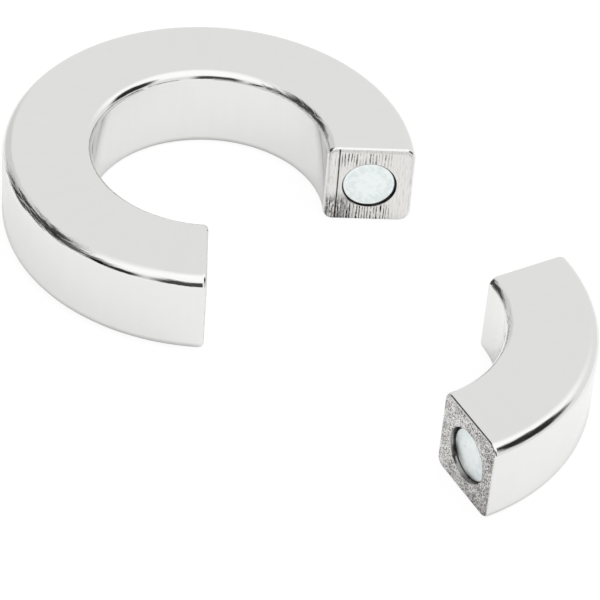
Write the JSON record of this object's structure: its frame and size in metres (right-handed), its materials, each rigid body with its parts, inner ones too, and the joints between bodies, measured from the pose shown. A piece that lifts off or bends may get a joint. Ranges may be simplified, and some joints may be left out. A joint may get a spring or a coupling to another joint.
{
  "type": "magnetic split ring",
  "caption": "Thick polished metal ring in two arcs that pull apart and close again on magnets set in their end faces.",
  "frame": {"origin": "centre of the ring's bore at mid height; with the parts lying on a table the table is at z = -6.8 mm", "axes": "+Z along the bore, up from the table; the missing quarter of the main arc is centred on the direction 45 degrees from +X towards -Y"},
  "size_m": [0.0855, 0.0936, 0.0136],
  "materials": {
    "polished_steel": "polished",
    "magnet_plating": "gloss",
    "adhesive": "gloss"
  },
  "bodies": {
    "main_arc": {"main_arc": "polished_steel", "main_arc_magnet_1": "magnet_plating", "main_arc_magnet_2": "magnet_plating", "main_arc_adhesive_1": "adhesive", "main_arc_adhesive_2": "adhesive"},
    "closing_segment": {"segment": "polished_steel", "segment_magnet_1": "magnet_plating", "segment_magnet_2": "magnet_plating", "segment_adhesive_1": "adhesive", "segment_adhesive_2": "adhesive"}
  },
  "joints": [
    {"name": "segment_swing", "type": "hinge", "parent": "main_arc", "child": "closing_segment", "pos_m": [0.085, 0.031, 0], "axis": [0, 0, 1], "range_deg": [-27.6, 0]}
  ]
}
